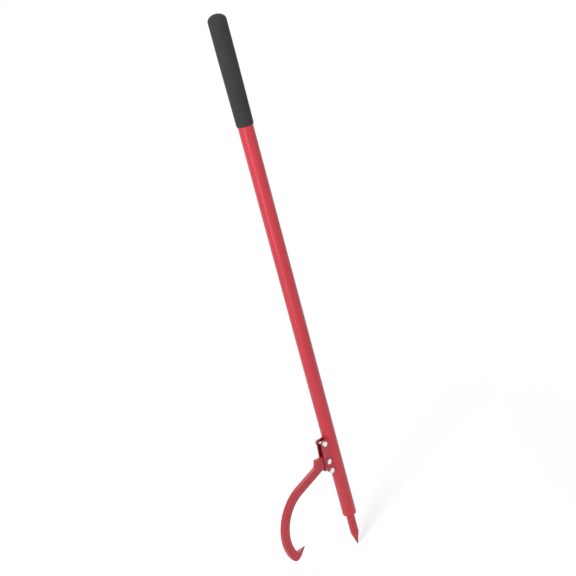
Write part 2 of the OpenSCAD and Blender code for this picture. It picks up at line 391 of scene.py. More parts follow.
def thicken(bm, y_low, y_high):
    """Makes a plate of the flat faces drawn so far, between two places along Y."""
    bmesh.ops.translate(bm, verts=bm.verts[:], vec=(0, y_low, 0))
    made = bmesh.ops.extrude_face_region(bm, geom=bm.faces[:])["geom"]
    bmesh.ops.translate(bm, verts=verts_in(made), vec=(0, y_high - y_low, 0))
    face_outwards(bm)


def soften(bm, edges, radius, segments=3):
    """Rounds edges."""
    bmesh.ops.bevel(bm, geom=edges, offset=radius, offset_type="OFFSET", affect="EDGES",
                    segments=segments, profile=0.5, material=-1, clamp_overlap=True)


def sharp_edges(bm):
    """The edges where two faces meet at more than the crease's angle."""
    return [e for e in bm.edges if e.is_manifold and e.calc_face_angle() > CREASE]


def axis_gap(point, x, z):
    """The distance of a point from an axis that lies along Y."""
    return Vector((point.x - x, point.z - z)).length


def next_ring(bm, edges):
    """Extrudes a ring of edges, and returns the new ring's vertices and edges."""
    made = bmesh.ops.extrude_edge_only(bm, edges=edges)["geom"]
    verts = verts_in(made)
    new = set(verts)
    return verts, [g for g in made if isinstance(g, bmesh.types.BMEdge) and new.issuperset(g.verts)]


def close_ends(bm, first, last):
    """Caps a swept shape at its first and last ring."""
    for ring in (first, last):
        bmesh.ops.contextual_create(bm, geom=ring)


def turned(bm, rings, flats=None, closed=False, segments=72):
    """Builds a turned shape along Z from rings of (height, radius), cut to a hexagon if it has flats."""
    def reach(vert, radius):
        if flats is None:
            return radius
        way = atan2(vert.co.y, vert.co.x) % HEX_SIDE
        return min(radius, flats / 2 / cos(way - HEX_SIDE / 2))

    def shape(verts, height, radius):
        for vert in verts:
            out = vert.co.xy.normalized() * reach(vert, radius)
            vert.co = (out.x, out.y, height)

    verts = bmesh.ops.create_circle(bm, segments=segments, radius=1.0)["verts"]
    first = edges = bm.edges[:]
    shape(verts, *rings[0])
    for ring in rings[1:]:
        verts, edges = next_ring(bm, edges)
        shape(verts, *ring)
    if not closed:
        close_ends(bm, first, edges)
    face_outwards(bm)


def join(bm, other):
    """Adds another mesh's faces to this one."""
    mesh = bpy.data.meshes.new("joined")
    other.to_mesh(mesh)
    other.free()
    bm.from_mesh(mesh)
    bpy.data.meshes.remove(mesh)


def make_object(bm, name, material):
    """Makes the mesh object of a shape."""
    mesh = bpy.data.meshes.new(name)
    bm.to_mesh(mesh)
    bm.free()
    mesh.materials.append(material)
    obj = bpy.data.objects.new(name, mesh)
    bpy.context.scene.collection.objects.link(obj)
    return obj


def finish_piece(bm, name, node, material, body="handle", crease=CREASE):
    """Makes the object of a piece, which moves with its body in place of a node."""
    for face in bm.faces:
        face.smooth = True
    for edge in bm.edges:
        edge.smooth = not edge.is_manifold or edge.calc_face_angle() < crease
    obj = make_object(bm, name, material)
    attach(obj, body)
    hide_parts(node)
    return obj


def even_shading(obj):
    """Keeps flat faces flat beside their rounded edges."""
    modifier = obj.modifiers.new("Even shading", "WEIGHTED_NORMAL")
    modifier.keep_sharp = True


# Node tools

class Nodes:
    """Adds and joins the nodes of one tree."""

    def __init__(self, tree):
        self.tree = tree
        tree.nodes.clear()

    def add(self, kind, inputs=None, **settings):
        """Adds a node. An input that is a socket is joined, and any other is set."""
        node = self.tree.nodes.new(kind)
        for key, value in settings.items():
            setattr(node, key, value)
        for key, value in (inputs or {}).items():
            if isinstance(value, bpy.types.NodeSocket):
                self.tree.links.new(value, node.inputs[key])
            else:
                node.inputs[key].default_value = value
        return node

    def group(self, tree, inputs):
        """Places a node group with its own values, and returns its outputs."""
        return self.add("ShaderNodeGroup", inputs, node_tree=tree).outputs

    def place(self, scale=(1, 1, 1)):
        """Object coordinates, stretched along an axis where its scale is small."""
        coords = self.add("ShaderNodeTexCoord").outputs["Object"]
        return self.add("ShaderNodeMapping", {"Vector": coords, "Scale": scale}).outputs["Vector"]

    def noise(self, coords, scale=1.0, detail=3.0, roughness=0.55):
        """Soft noise with so many patches to a metre, or to a unit of stretched coordinates."""
        inputs = {"Vector": coords, "Scale": scale, "Detail": detail, "Roughness": roughness}
        return self.add("ShaderNodeTexNoise", inputs).outputs["Fac"]

    def spread(self, value, low, high, first=0.3, last=0.7):
        """Maps a noise's usual range, or another one, to a range of values."""
        inputs = {"Value": value, "From Min": first, "From Max": last, "To Min": low, "To Max": high}
        return self.add("ShaderNodeMapRange", inputs).outputs["Result"]

    def fade(self, value, first, last):
        """1 up to one value, and from there down to 0 at another."""
        return self.spread(value, low=1.0, high=0.0, first=first, last=last)

    def ragged(self, value, coords, scale, detail, swing):
        """A value that noise moves up and down by a swing."""
        noise = self.noise(coords, scale, detail)
        return self.maths("ADD", value, self.spread(noise, low=-swing, high=swing))

    def maths(self, operation, *values):
        """One sum of values."""
        return self.add("ShaderNodeMath", dict(enumerate(values)), operation=operation).outputs[0]

    def extreme(self, operation, value, *others):
        """The least or the greatest of several values."""
        for other in others:
            value = self.maths(operation, value, other)
        return value

    def vector(self, operation, *values):
        """One sum of vectors, which gives a vector or a length."""
        node = self.add("ShaderNodeVectorMath", dict(enumerate(values)), operation=operation)
        return node.outputs["Value" if operation in ("LENGTH", "DISTANCE") else "Vector"]

    def from_axis(self, coords, axis):
        """The distance from an axis that lies along Y."""
        away = self.vector("SUBTRACT", coords, axis)
        return self.vector("LENGTH", self.vector("MULTIPLY", away, (1, 0, 1)))

    def mix(self, share, first, second):
        """A value between two values."""
        return self.add("ShaderNodeMix", {0: share, 2: first, 3: second}).outputs[0]

    def mix_colour(self, share, first, second):
        """A colour between two colours."""
        return self.add("ShaderNodeMix", {0: share, 6: first, 7: second}, data_type="RGBA").outputs[2]

    def shade(self, tone, value):
        """A colour made darker or lighter."""
        return self.add("ShaderNodeHueSaturation", {"Color": tone, "Value": value}).outputs["Color"]


def rgba(value):
    """A colour with full alpha."""
    return (*value, 1.0)


def new_group(name, inputs, outputs):
    """A shader node group with named sockets, its node tools and the values that it is given."""
    group = bpy.data.node_groups.new(name, "ShaderNodeTree")
    for way, sockets in (("INPUT", inputs), ("OUTPUT", outputs)):
        for socket, kind in sockets.items():
            group.interface.new_socket(name=socket, in_out=way, socket_type="NodeSocket" + kind)
    nodes = Nodes(group)
    return group, nodes, nodes.add("NodeGroupInput").outputs


def new_material(name):
    """A material with an empty node tree, and its node tools."""
    material = bpy.data.materials.new(name)
    material.use_nodes = True
    return material, Nodes(material.node_tree)


def surface(nodes, look, height, strength, depth):
    """The Principled shader of a material, with a bump of some depth in metres."""
    bump = nodes.add("ShaderNodeBump", {"Height": height, "Strength": strength, "Distance": depth})
    shader = nodes.add("ShaderNodeBsdfPrincipled", {**look, "Normal": bump.outputs["Normal"]})
    nodes.add("ShaderNodeOutputMaterial", {"Surface": shader.outputs["BSDF"]})


# Effects that the finishes are made of

@cache
def paint_film():
    """Powder coat: orange peel, a little unevenness of colour and rubbed patches of gloss."""
    group, nodes, given = new_group("Paint film", {"Colour": "Color", "Peel": "Float"},
                                    {"Colour": "Color", "Roughness": "Float", "Height": "Float"})
    coords = nodes.place()
    clouds = nodes.noise(coords, scale=16.0)
    rubbed = nodes.noise(nodes.place(scale=(140.0, 140.0, 9.0)))
    peel = nodes.noise(coords, scale=given["Peel"], detail=1.0)
    grain = nodes.noise(coords, scale=2600.0, detail=1.0)
    nodes.add("NodeGroupOutput", {
        "Colour": nodes.shade(given["Colour"], nodes.spread(clouds, low=0.93, high=1.05)),
        "Roughness": nodes.spread(rubbed, low=0.26, high=0.38),
        "Height": nodes.mix(share=0.18, first=peel, second=grain),
    })
    return group


@cache
def ground_steel():
    """Dark ground steel with fine scratches and a cast of old scale."""
    group, nodes, given = new_group("Ground steel", {"Colour": "Color"},
                                    {"Colour": "Color", "Roughness": "Float", "Height": "Float"})
    patches = nodes.noise(nodes.place(), scale=180.0, detail=5.0)
    scratches = nodes.noise(nodes.place(scale=(1800.0, 1800.0, 120.0)), detail=2.0)
    nodes.add("NodeGroupOutput", {
        "Colour": nodes.shade(given["Colour"], nodes.spread(patches, low=0.55, high=1.35)),
        "Roughness": nodes.spread(scratches, low=0.32, high=0.55),
        "Height": scratches,
    })
    return group


@cache
def worn_point():
    """A mask that is 1 near a tip and fades raggedly at a distance from it."""
    group, nodes, given = new_group("Worn point", {"Tip": "Vector", "Length": "Float"}, {"Bare": "Float"})
    coords = nodes.place()
    share = nodes.maths("DIVIDE", nodes.vector("DISTANCE", coords, given["Tip"]), given["Length"])
    ragged = nodes.ragged(share, coords, scale=240.0, detail=5.0, swing=0.3)
    nodes.add("NodeGroupOutput", {"Bare": nodes.fade(ragged, first=0.2, last=1.2)})
    return group


@cache
def painted_gap_shade():
    """A mask of dark dirt inside a box, with a ragged edge."""
    inputs = {"Middle": "Vector", "Half": "Vector", "Fade": "Float"}
    group, nodes, given = new_group("Painted gap shade", inputs, {"Painted shade": "Float"})
    coords = nodes.place()
    away = nodes.vector("ABSOLUTE", nodes.vector("SUBTRACT", coords, given["Middle"]))
    past = nodes.vector("SUBTRACT", away, given["Half"])
    part = nodes.add("ShaderNodeSeparateXYZ", {"Vector": past}).outputs
    outside = nodes.extreme("MAXIMUM", part["X"], part["Y"], part["Z"])
    ragged = nodes.ragged(outside, coords, scale=420.0, detail=4.0, swing=0.0009)
    nodes.add("NodeGroupOutput", {"Painted shade": nodes.fade(ragged, first=0.0, last=given["Fade"])})
    return group


@cache
def painted_shade_ring():
    """A mask of dirt gathered round a fastener that lies along Y."""
    inputs = {"Axis": "Vector", "Radius": "Float", "Fade": "Float"}
    group, nodes, given = new_group("Painted shade ring", inputs, {"Painted shade": "Float"})
    coords = nodes.place()
    away = nodes.from_axis(coords, given["Axis"])
    ragged = nodes.ragged(away, coords, scale=700.0, detail=3.0, swing=0.0005)
    past = nodes.maths("SUBTRACT", ragged, given["Radius"])
    nodes.add("NodeGroupOutput", {"Painted shade": nodes.fade(past, first=0.0, last=given["Fade"])})
    return group


@cache
def zinc_plating():
    """Zinc plating: faint clouds of tone, handling marks, and the rings of the turned faces under it."""
    group, nodes, given = new_group("Zinc plating", {"Colour": "Color"},
                                    {"Colour": "Color", "Marks": "Float", "Height": "Float"})
    coords = nodes.place()
    clouds = nodes.noise(coords, scale=260.0)
    marks = nodes.noise(nodes.place(scale=(900.0, 300.0, 900.0)))
    away = [nodes.from_axis(coords, (x, 0.0, z)) for x, z in map(bolt_axis, BOLT_PLACES)]
    nearest = nodes.extreme("MINIMUM", *away)
    wave = nodes.maths("SINE", nodes.maths("MULTIPLY", nearest, 2 * pi / TURNED_PITCH))
    rings = nodes.spread(wave, low=0.0, high=1.0, first=-1.0, last=1.0)
    nodes.add("NodeGroupOutput", {
        "Colour": nodes.shade(given["Colour"], nodes.spread(clouds, low=0.86, high=1.05)),
        "Marks": marks,
        "Height": nodes.mix(share=0.4, first=marks, second=rings),
    })
    return group


# Finishes

def finishes():
    """The colours in use."""
    return bpy.context.scene.hook_finishes


def painted(name, red, peel, painted_shade=None, tip=None, bare=None):
    """Red powder coat, with dirt where it gathers, and worn to bare steel round a tip if it has one."""
    material, nodes = new_material(name)
    film = nodes.group(paint_film(), {"Colour": rgba(red), "Peel": peel})
    look = {"Base Color": film["Colour"], "Roughness": film["Roughness"]}
    height = film["Height"]
    # The mask darkens the paint towards the painted shade colour
    if painted_shade is not None:
        mask = painted_shade(nodes)
        look["Base Color"] = nodes.mix_colour(mask, look["Base Color"], rgba(finishes().painted_shade))
        look["Roughness"] = nodes.mix(mask, look["Roughness"], SHADE_ROUGHNESS)
    if tip is not None:
        steel = nodes.group(ground_steel(), {"Colour": rgba(finishes().bare_steel)})
        mask = nodes.group(worn_point(), {"Tip": tip, "Length": bare})["Bare"]
        look["Base Color"] = nodes.mix_colour(mask, look["Base Color"], steel["Colour"])
        look["Roughness"] = nodes.mix(mask, look["Roughness"], steel["Roughness"])
        look["Metallic"] = nodes.maths("MULTIPLY", mask, POINT_METAL)
        height = nodes.mix(mask, height, steel["Height"])
    surface(nodes, look, height, strength=0.6, depth=0.0003)
    return material


def bracket_painted_shade(nodes):
    """Dirt between the ears and round their washers."""
    inner_y = EAR_LOW.y + SHADE_INTO_FACE
    low = Vector((EAR_LOW.x - SHADE_PAST_SIDE, -inner_y, EAR_LOW.z - SHADE_PAST_FOOT))
    high = Vector((-SHADE_INNER_END * TUBE_HIGH.x, inner_y, EAR_HIGH.z - SHADE_BELOW_TOP))
    box = {"Middle": (low + high) / 2, "Half": (high - low) / 2, "Fade": EAR_SHADE_FADE}
    # Painted shade darkens the gap where the ears and the tube shade it
    painted_shade = [nodes.maths("MULTIPLY", nodes.group(painted_gap_shade(), box)["Painted shade"], EAR_SHADE)]
    for place in BOLT_PLACES:
        x, z = bolt_axis(place)
        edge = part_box(place + "_head_washer")[1].x - x
        # A ring of painted shade on the ear round each washer, where the washer shades it
        ring = {"Axis": (x, 0.0, z), "Radius": edge, "Fade": RING_SHADE_FADE}
        painted_shade.append(nodes.maths("MULTIPLY", nodes.group(painted_shade_ring(), ring)["Painted shade"], RING_SHADE))
    return nodes.extreme("MAXIMUM", *painted_shade)


def pivot_painted_shade(nodes):
    """Grease and dirt rubbed on the hook's head round the pivot."""
    # Painted shade where the ears shade the hook's head
    ring = {"Axis": PIVOT, "Radius": PIVOT_SHADE_RADIUS, "Fade": PIVOT_SHADE_FADE}
    return nodes.maths("MULTIPLY", nodes.group(painted_shade_ring(), ring)["Painted shade"], PIVOT_SHADE)


@cache
def tube_paint():
    """Paint of the tube, the ears and the welds."""
    return painted("Tube paint", finishes().tube_red, peel=420.0, painted_shade=bracket_painted_shade)


@cache
def spike_paint():
    """Paint of the spike, bare at its tip."""
    tip = (0.0, 0.0, SPIKE_LOW.z)
    return painted("Spike paint", finishes().hook_red, peel=520.0, tip=tip, bare=finishes().spike_bare)


@cache
def hook_paint():
    """Paint of the hook, bare at its tip."""
    return painted("Hook paint", finishes().hook_red, peel=520.0, painted_shade=pivot_painted_shade, tip=hook_tip(),
                   bare=finishes().hook_bare)


@cache
def grip_foam():
    """Closed-cell foam with fine pores and a soft sheen."""
    material, nodes = new_material("Grip foam")
    coords = nodes.place()
    cells = nodes.add("ShaderNodeTexVoronoi", {"Vector": coords, "Scale": 1500.0, "Randomness": 1.0})
    pores = nodes.spread(cells.outputs["Distance"], low=0.0, high=1.0, first=0.1, last=0.55)
    clouds = nodes.noise(coords, scale=60.0, detail=4.0)
    tone = nodes.mix(share=0.45, first=pores, second=nodes.spread(clouds, low=0.0, high=1.0))
    light = rgba([c * FOAM_LIGHT for c in finishes().foam_black])
    dark = rgba([c * FOAM_DARK for c in finishes().foam_black])
    look = {
        "Base Color": nodes.mix_colour(tone, dark, light),
        "Roughness": nodes.spread(clouds, low=0.78, high=0.92),
        "Specular IOR Level": 0.32,
        "Sheen Weight": 0.08,
        "Sheen Roughness": 0.5,
    }
    height = nodes.mix(share=0.3, first=pores, second=clouds)
    surface(nodes, look, height, strength=0.5, depth=0.0002)
    return material


def plated(name, tone, smooth, rough):
    """Zinc plating of one colour, between two roughnesses."""
    material, nodes = new_material(name)
    zinc = nodes.group(zinc_plating(), {"Colour": rgba(tone)})
    look = {
        "Base Color": zinc["Colour"],
        "Roughness": nodes.spread(zinc["Marks"], smooth, rough),
        "Metallic": 1.0,
    }
    surface(nodes, look, zinc["Height"], strength=0.35, depth=0.00003)
    return material


@cache
def bright_zinc():
    """Plating of the bolts and nuts."""
    return plated("Bright zinc", finishes().zinc, smooth=0.22, rough=0.32)


@cache
def dull_zinc_and_shade():
    """Plating of the washers, duller than the bolts'."""
    return plated("Dull zinc and shade", finishes().washer_zinc_and_shade, smooth=0.34, rough=0.5)


@cache
def plug_steel():
    """Plain steel of the plug inside the tube."""
    material, nodes = new_material("Plug steel")
    steel = nodes.group(ground_steel(), {"Colour": rgba(finishes().bare_steel)})
    look = {"Base Color": steel["Colour"], "Roughness": steel["Roughness"], "Metallic": 1.0}
    surface(nodes, look, steel["Height"], strength=0.3, depth=0.00005)
    return material


# Handle

class HOOK_OT_tube(Operator):
    """Build the painted tube with its rounded lower edge"""

    bl_idname = "cant_hook.tube"
    bl_label = "Tube"

    def execute(self, context):
        s = context.scene.hook_handle
        turn_in = s.tube_end_round
        bm = bmesh.new()
        pen = Pen(bm, s.tube_bore, TUBE_HIGH.z)
        pen.line(s.tube_bore, TUBE_LOW.z)
        pen.line(s.tube_radius - turn_in, TUBE_LOW.z)
        pen.arc(s.tube_radius - turn_in, TUBE_LOW.z + turn_in, -pi / 2, steps=6)
        pen.line(s.tube_radius, TUBE_HIGH.z)
        pen.line(s.tube_bore, TUBE_HIGH.z)
        lathe(bm, steps=128)
        finish_piece(bm, "painted_tube", "handle_tube", tube_paint())
        return {"FINISHED"}


class HOOK_OT_grip(Operator):
    """Build the foam grip with its rounded lip and closed top"""

    bl_idname = "cant_hook.grip"
    bl_label = "Grip"

    def execute(self, context):
        s = context.scene.hook_handle
        lip = s.grip_lip_round
        lip_x = s.grip_lip_radius - lip
        inside = TUBE_HIGH.x
        dome_z = GRIP_HIGH.z - s.grip_dome
        bm = bmesh.new()
        pen = Pen(bm, 0.0, TUBE_HIGH.z)
        pen.line(inside, TUBE_HIGH.z)
        pen.line(inside, GRIP_LOW.z)
        pen.line(lip_x, GRIP_LOW.z)
        pen.arc(lip_x, GRIP_LOW.z + lip, -pi / 2, steps=12, stretch=s.grip_lip_height / lip)
        pen.line(s.grip_radius, GRIP_LOW.z + s.grip_taper)
        pen.line(s.grip_radius, dome_z)
        pen.arc(0.0, dome_z, -pi / 2, steps=24, stretch=s.grip_dome / s.grip_radius)
        lathe(bm, steps=128)
        grip = finish_piece(bm, "foam_grip", "grip", grip_foam())
        return {"FINISHED"}


class HOOK_OT_spike(Operator):
    """Build the spike with its ground point"""

    bl_idname = "cant_hook.spike"
    bl_label = "Spike"

    def execute(self, context):
        s = context.scene.hook_handle
        tip = s.spike_tip_radius
        slope = atan2(s.spike_radius - tip, s.spike_point - tip)
        blend = s.spike_shoulder_round
        blend_z = SPIKE_LOW.z + s.spike_point + blend * tan(slope / 2)
        bm = bmesh.new()
        pen = Pen(bm, 0.0, SPIKE_HIGH.z)
        pen.line(s.spike_tail_radius, SPIKE_HIGH.z)
        pen.line(s.spike_tail_radius, TUBE_LOW.z)
        pen.line(s.spike_radius, TUBE_LOW.z)
        pen.line(s.spike_radius, blend_z)
        pen.arc(s.spike_radius - blend, blend_z, slope, steps=8)
        pen.line(tip, SPIKE_LOW.z + tip)
        pen.arc(0.0, SPIKE_LOW.z + tip, pi / 2, steps=6)
        lathe(bm, steps=96)
        finish_piece(bm, "ground_spike", "spike", spike_paint())
        return {"FINISHED"}


class HOOK_OT_plug(Operator):
    """Finish the plug that holds the spike's tail in the tube"""

    bl_idname = "cant_hook.plug"
    bl_label = "Plug"

    def execute(self, context):
        plug = frame["nodes"]["end_plug"]
        plug.data.materials.clear()
        plug.data.materials.append(plug_steel())
        return {"FINISHED"}


# Bracket

def bolt_axis(place):
    """The X and Z of a bolt's axis."""
    low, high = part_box(place + "_bolt")
    return (low.x + high.x) / 2, (low.z + high.z) / 2


def draw_ear(bm, s):
    """Draws an ear's outline with its holes in the XZ plane, and fills it."""
    root, left, foot, top = EAR_HIGH.x, EAR_LOW.x, EAR_LOW.z, EAR_HIGH.z
    upper_left = bolt_axis("upper")[0] - s.upper_margin
    lean = atan2(upper_left - left, top - PIVOT.z)
    corner_x = upper_left + s.top_round * (1 / cos(lean) - tan(lean))
    pen = Pen(bm, root, foot)
    pen.line(left + s.foot_round, foot)
    pen.arc(left + s.foot_round, foot + s.foot_round, pi / 2, steps=24)
    pen.line(left, PIVOT.z)
    pen.line(corner_x - s.top_round * cos(lean), top - s.top_round * (1 - sin(lean)))
    pen.arc(corner_x, top - s.top_round, pi / 2 - lean, steps=8)
    pen.line(root, top)
    pen.line(root, foot)
    for place in BOLT_PLACES:
        draw_hole(bm, *bolt_axis(place), s.hole_radius)
    merge(bm)
    fill(bm, bm.edges[:])


def is_rim(edge):
    """Whether an edge is on the outside of an ear and clear of the tube and the holes."""
    if any(v.co.x > EAR_HIGH.x - EAR_ROOT_CLEAR for v in edge.verts):
        return False
    middle = (edge.verts[0].co + edge.verts[1].co) / 2
    return min(axis_gap(middle, *bolt_axis(place)) for place in BOLT_PLACES) > EAR_HOLE_CLEAR


def fit_to_tube(bm):
    """Brings an ear's root to the tube's round surface."""
    for vert in bm.verts:
        if abs(vert.co.x - EAR_HIGH.x) < SAME_POINT:
            vert.co.x = -sqrt(TUBE_HIGH.x ** 2 - vert.co.y ** 2)


class HOOK_OT_ears(Operator):
    """Build the two ears with their bolt holes and rounded edges"""

    bl_idname = "cant_hook.ears"
    bl_label = "Ears"

    def execute(self, context):
        s = context.scene.hook_bracket
        for node in ("near_ear", "far_ear"):
            low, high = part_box(node)
            bm = bmesh.new()
            draw_ear(bm, s)
            thicken(bm, low.y, high.y)
            soften(bm, [e for e in sharp_edges(bm) if is_rim(e)], s.edge_round)
            fit_to_tube(bm)
            even_shading(finish_piece(bm, node + "_plate", node, tube_paint()))
        return {"FINISHED"}


def bead_sizes(steps):
    """Sizes of a weld along its length: round ends, and the unevenness of a hand."""
    sizes = []
    for i in range(steps + 1):
        from_end = min(i, steps - i) / (2 * RIPPLE_STEPS)
        ends = BEAD_END + (1 - BEAD_END) * sqrt(min(1.0, from_end))
        swell = BEAD_SWELL * abs(sin(pi * i / RIPPLE_STEPS))
        waver = BEAD_WAVER * sin(BEAD_WAVER_TURN * i)
        sizes.append(ends * (1 + swell + waver))
    return sizes


def raise_ripples(bm, s, centre, toe):
    """Lifts a hollow weld's face into curved ripples, highest in the middle of the weld."""
    for vert in bm.verts:
        outwards = (centre - vert.co) * Vector((1, 1, 0))
        across = atan2(-outwards.x, outwards.y) / toe
        middle = max(0.0, 1 - (2 * across - 1) ** 2)
        ripple = abs(sin(pi * (vert.co.z - centre.z) / s.weld_ripple))
        crest = RIPPLE_TROUGH + (1 - RIPPLE_TROUGH) * ripple
        vert.co += outwards.normalized() * s.weld_crest * crest * middle
        vert.co.z += s.weld_lead * middle


def lay_bead(bm, s, side):
    """Lays the fillet between an ear's outer face and the tube, up Z with the ripples of a hand."""
    tube, face_y, r = TUBE_HIGH.x, EAR_HIGH.y, s.weld_hollow
    low, high = EAR_LOW.z + s.weld_inset, EAR_HIGH.z - s.weld_inset
    centre = Vector((-sqrt((tube + r) ** 2 - (face_y + r) ** 2), face_y + r, low))
    toe = atan2(-centre.x, centre.y)
    root = Vector((-sqrt(tube ** 2 - face_y ** 2), face_y, 0.0))

    heel = bm.verts.new((centre.x, face_y, low))
    made = bmesh.ops.spin(bm, geom=[heel], cent=centre, axis=(0, 0, 1), angle=toe, steps=FILLET_STEPS)
    last = verts_in(made["geom_last"])
    tail = bmesh.ops.extrude_vert_indiv(bm, verts=last)["verts"][0]
    tail.co = root + WELD_ROOT + Vector((0.0, 0.0, low))
    bmesh.ops.contextual_create(bm, geom=[tail, heel])
    first = ring = bm.edges[:]

    steps = RIPPLE_STEPS * round((high - low) / s.weld_ripple)
    sizes = bead_sizes(steps)
    about = Matrix.Translation(-root)
    bmesh.ops.scale(bm, vec=(sizes[0], sizes[0], 1), space=about, verts=bm.verts[:])
    for before, after in zip(sizes, sizes[1:]):
        moved, ring = next_ring(bm, ring)
        bmesh.ops.translate(bm, vec=(0, 0, (high - low) / steps), verts=moved)
        bmesh.ops.scale(bm, vec=(after / before, after / before, 1), space=about, verts=moved)
    close_ends(bm, first, ring)
    raise_ripples(bm, s, centre, toe)
    bmesh.ops.scale(bm, vec=(1, side, 1), verts=bm.verts[:])
    face_outwards(bm)


class HOOK_OT_welds(Operator):
    """Build the welds along the ears and round the spike"""

    bl_idname = "cant_hook.welds"
    bl_label = "Welds"

    def execute(self, context):
        s = context.scene.hook_bracket
        for node, side in (("near_ear_weld", -1), ("far_ear_weld", 1)):
            bm = bmesh.new()
            lay_bead(bm, s, side)
            weld = finish_piece(bm, node + "_bead", node, tube_paint(), crease=pi)
            smooth = weld.modifiers.new("Smooth bead", "SUBSURF")
            smooth.levels = smooth.render_levels = 1
        self.round_weld(context.scene.hook_handle, s.weld_ripple)
        return {"FINISHED"}

    def round_weld(self, s, ripple):
        """The weld that closes the tube's end round the spike."""
        low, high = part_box("end_weld")
        inside, outside = s.spike_tail_radius, s.tube_bore
        leg = s.end_bead
        bm = bmesh.new()
        pen = Pen(bm, inside, high.z)
        pen.line(inside, low.z)
        pen.line(s.spike_radius, low.z)
        for out, down in END_BEAD_FACE:
            pen.line(s.spike_radius + leg * out, low.z - leg * down)
        short, down = END_BEAD_RIM
        pen.line(outside - leg * short, low.z - leg * down)
        pen.line(outside, low.z)
        pen.line(outside, high.z)
        pen.line(inside, high.z)
        lathe(bm, steps=120)
        waves = round(2 * pi * s.spike_radius / ripple)
        for vert in bm.verts:
            if vert.co.z < low.z - SAME_POINT:
                vert.co.z += END_BEAD_WAVE * leg * cos(waves * atan2(vert.co.y, vert.co.x))
        finish_piece(bm, "end_weld_bead", "end_weld", tube_paint())


# Hook

def bend_spot(s, reach, past):
    """X and Z of a point by the bend's end, from its distance to the bend's centre and past the end."""
    end = pi / 2 - s.sweep
    along = s.arm + reach * cos(end) + past * sin(end)
    rise = -s.bend + reach * sin(end) - past * cos(end)
    return -along, rise


def tip_spot(s):
    """X and Z of the sharp end."""
    return bend_spot(s, s.bend - s.width / 2 - s.tip_reach, s.tip_drop)


def hook_place(s):
    """The matrix that takes a hook drawn with its pivot at the origin to its place."""
    return Matrix.Translation(PIVOT) @ Matrix.Rotation(-s.droop, 4, "Y")


def hook_tip():
    """The hook's sharp end in the frame."""
    s = bpy.context.scene.hook_bar
    x, z = tip_spot(s)
    return hook_place(s) @ Vector((x, 0.0, z))


def draw_hook(bm, s):
    """Draws the hook's outline with its arm along -X, and returns the sharp end's three corners."""
    half = s.width / 2
    inner, outer = s.bend - half, s.bend + half
    corner = Vector((s.heel_along, s.heel_rise))
    back = atan2(s.heel_rise, s.heel_along) + acos(s.head / corner.length)
    head_foot = asin(half / s.head)
    heel_foot = s.heel_along + (s.heel_rise - half) / tan(s.heel_side)
    run = s.heel_fillet * tan(s.heel_side / 2)
    slim = inner - s.tip_thickness
    rise = s.tip_drop * (inner - slim) / s.tip_reach

    pen = Pen(bm, -s.head * cos(head_foot), -half)
    pen.arc(0.0, 0.0, -(2 * pi - head_foot - back), steps=32)
    pen.line(-corner.x, corner.y)
    pen.line(-(heel_foot - run * cos(s.heel_side)), half + run * sin(s.heel_side))
    pen.arc(-(heel_foot + run), half + s.heel_fillet, s.heel_side, steps=10)
    pen.line(-s.arm, half)
    pen.arc(-s.arm, -s.bend, -s.sweep, steps=72)
    pen.arc(*bend_spot(s, outer - s.tip_drop, 0.0), -pi / 2, steps=14)
    low = pen.line(*bend_spot(s, slim, s.tip_drop))
    tip = pen.line(*tip_spot(s))
    high = pen.line(*bend_spot(s, slim, rise))
    pen.line(*bend_spot(s, inner, 0.0))
    pen.arc(-s.arm, -s.bend, s.sweep, steps=72)
    pen.line(-s.head * cos(head_foot), -half)
    merge(bm)
    return low, tip, high


def fill_hook(bm, low, tip, high, bore):
    """Fills the hook's outline round the pivot's bore, with the sharp end as a face of its own."""
    sharp = [e for e in bm.edges if tip in e.verts]
    bmesh.ops.contextual_create(bm, geom=[low, high])
    draw_hole(bm, 0.0, 0.0, bore)
    fill(bm, [e for e in bm.edges if e not in sharp])
    bmesh.ops.contextual_create(bm, geom=[low, tip, high])


def within(edge, x, z, reach):
    """Whether an edge lies within a distance of an axis along Y."""
    return all(axis_gap(v.co, x, z) < reach for v in edge.verts)


class HOOK_OT_hook(Operator):
    """Build the hook with its heel, bend and ground point"""

    bl_idname = "cant_hook.hook"
    bl_label = "Hook"

    def execute(self, context):
        s = context.scene.hook_bar
        bore = context.scene.hook_bracket.hole_radius
        bm = bmesh.new()
        low, tip, high = draw_hook(bm, s)
        fill_hook(bm, low, tip, high, bore)
        thicken(bm, HOOK_LOW.y, HOOK_HIGH.y)
        x, z = tip_spot(s)
        for vert in bm.verts:
            if axis_gap(vert.co, x, z) < SAME_POINT:
                vert.co.y *= s.tip_thickness / (HOOK_HIGH.y - HOOK_LOW.y)
        # The bar's rims are rounded first, then the ground point's edges, and the bore's rims stay sharp
        ground = s.tip_reach + s.tip_drop / 2
        rims = [e for e in sharp_edges(bm) if not within(e, x, z, ground)]
        soften(bm, [e for e in rims if not within(e, 0.0, 0.0, 2 * bore)], s.edge_round)
        point = [e for e in sharp_edges(bm) if within(e, x, z, s.tip_reach)]
        soften(bm, point, s.point_round, segments=2)
        bmesh.ops.transform(bm, matrix=hook_place(s), verts=bm.verts[:])
        even_shading(finish_piece(bm, "hook_bar", "hook", hook_paint(), body="hook"))
        return {"FINISHED"}


# Fasteners

def chamfer_rings(s, height, steps=6):
    """Rings of a hexagon's turned end, from its corners up to its face."""
    corner = s.flats / 2 / cos(HEX_SIDE / 2)
    drop = (corner - s.turned_face) * tan(CHAMFER)
    shares = [i / steps for i in range(steps + 1)]
    return [(height - drop * (1 - k), corner + (s.turned_face - corner) * k) for k in shares]


